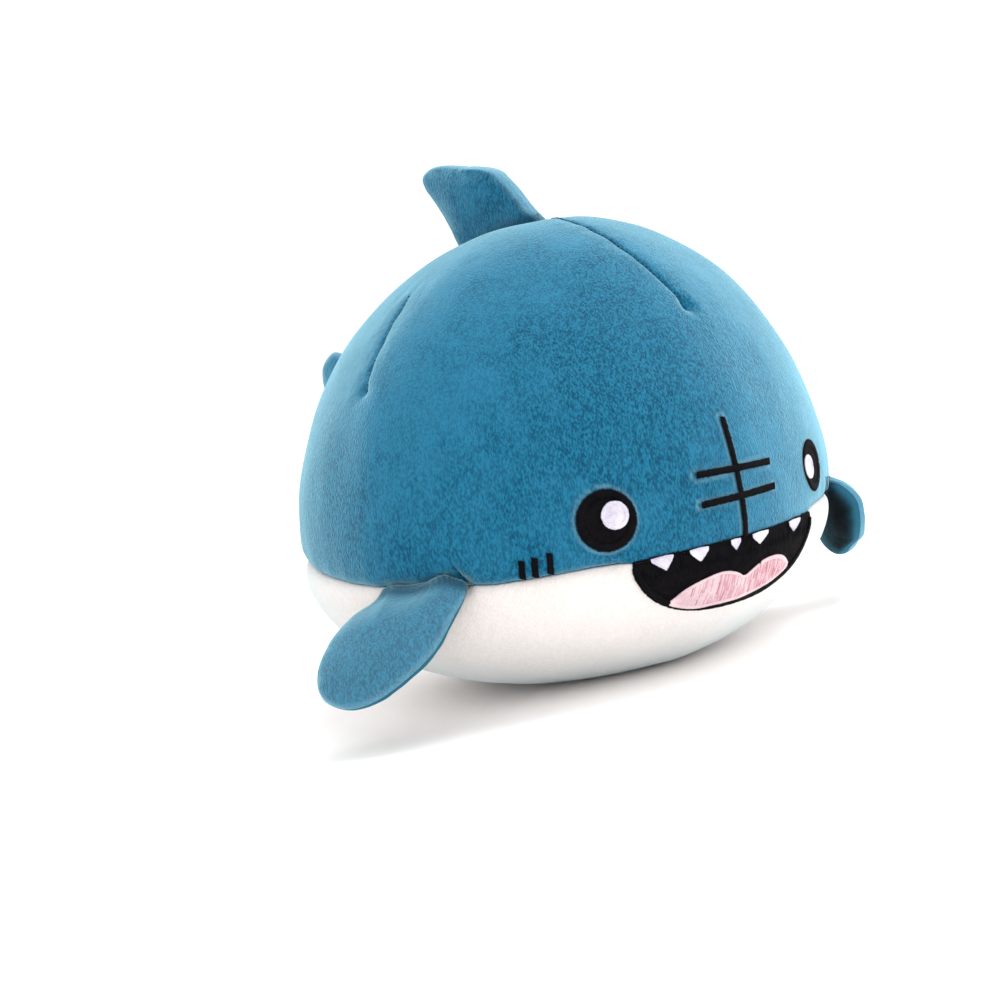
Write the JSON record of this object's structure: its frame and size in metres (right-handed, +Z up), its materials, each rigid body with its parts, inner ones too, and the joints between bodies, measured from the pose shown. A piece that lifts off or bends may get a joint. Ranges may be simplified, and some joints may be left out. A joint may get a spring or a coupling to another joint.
{
  "type": "plush shark",
  "caption": "Round stuffed shark with a two-panel plush body, embroidered face, two flippers, a dorsal fin and a tail that flex where they are sewn on.",
  "frame": {"origin": "middle of the flat patch of the belly that the shark sits on", "axes": "+X towards the shark's left, -Y the way its face looks, +Z up"},
  "size_m": [0.1982, 0.1706, 0.1393],
  "materials": {
    "plush_blue": "short brushed pile",
    "plush_navy": "short brushed pile",
    "plush_white": "short brushed pile",
    "thread_black": "satin embroidery",
    "thread_white": "satin embroidery",
    "thread_pink": "satin embroidery",
    "thread_blue": "sewing thread",
    "stuffing_fibre": "loose polyester fibre"
  },
  "bodies": {
    "body": {"top_panel": "plush_blue", "belly_panel": "plush_white", "body_stuffing": "stuffing_fibre", "body_seam_thread": "thread_blue", "closing_stitches": "thread_blue", "front_dart_stitches": "thread_blue", "right_dart_stitches": "thread_blue", "left_dart_stitches": "thread_blue", "mouth_fill": "thread_black", "mouth_outline": "thread_black", "teeth": "thread_white", "tongue": "thread_pink", "right_eye_fill": "thread_black", "right_eye_border": "thread_black", "right_eye_highlight": "thread_white", "left_eye_fill": "thread_black", "left_eye_border": "thread_black", "left_eye_highlight": "thread_white", "right_gill_stitches": "thread_black", "left_gill_stitches": "thread_black", "scar_stitches": "thread_black", "right_flipper_root": "plush_blue", "left_flipper_root": "plush_blue", "dorsal_fin_root": "plush_blue", "tail_root": "plush_blue"},
    "right_flipper": {"right_flipper_upper_panel": "plush_blue", "right_flipper_lower_panel": "plush_navy", "right_flipper_stuffing": "stuffing_fibre"},
    "left_flipper": {"left_flipper_upper_panel": "plush_blue", "left_flipper_lower_panel": "plush_navy", "left_flipper_stuffing": "stuffing_fibre"},
    "dorsal_fin": {"dorsal_fin_right_panel": "plush_blue", "dorsal_fin_left_panel": "plush_blue", "dorsal_fin_stuffing": "stuffing_fibre"},
    "tail": {"tail_right_panel": "plush_blue", "tail_left_panel": "plush_blue", "tail_stuffing": "stuffing_fibre"}
  },
  "joints": [
    {"name": "right_flipper_flap", "type": "hinge", "parent": "body", "child": "right_flipper", "pos_m": [-0.0724, -0.018, 0.0352], "axis": [-0.515, 0.8572, 0], "range_deg": [-8, 80], "stiffness_Nm_per_rad": 0.02},
    {"name": "left_flipper_flap", "type": "hinge", "parent": "body", "child": "left_flipper", "pos_m": [0.0724, -0.018, 0.0352], "axis": [-0.515, -0.8572, 0], "range_deg": [-8, 80], "stiffness_Nm_per_rad": 0.02},
    {"name": "dorsal_fin_flop", "type": "hinge", "parent": "body", "child": "dorsal_fin", "pos_m": [0, 0.0175, 0.1199], "axis": [0, 0.9755, -0.2198], "range_deg": [-25, 25], "stiffness_Nm_per_rad": 0.02},
    {"name": "tail_wag", "type": "hinge", "parent": "body", "child": "tail", "pos_m": [0, 0.0786, 0.0635], "axis": [0, -0.2924, 0.9563], "range_deg": [-30, 30], "stiffness_Nm_per_rad": 0.02}
  ]
}
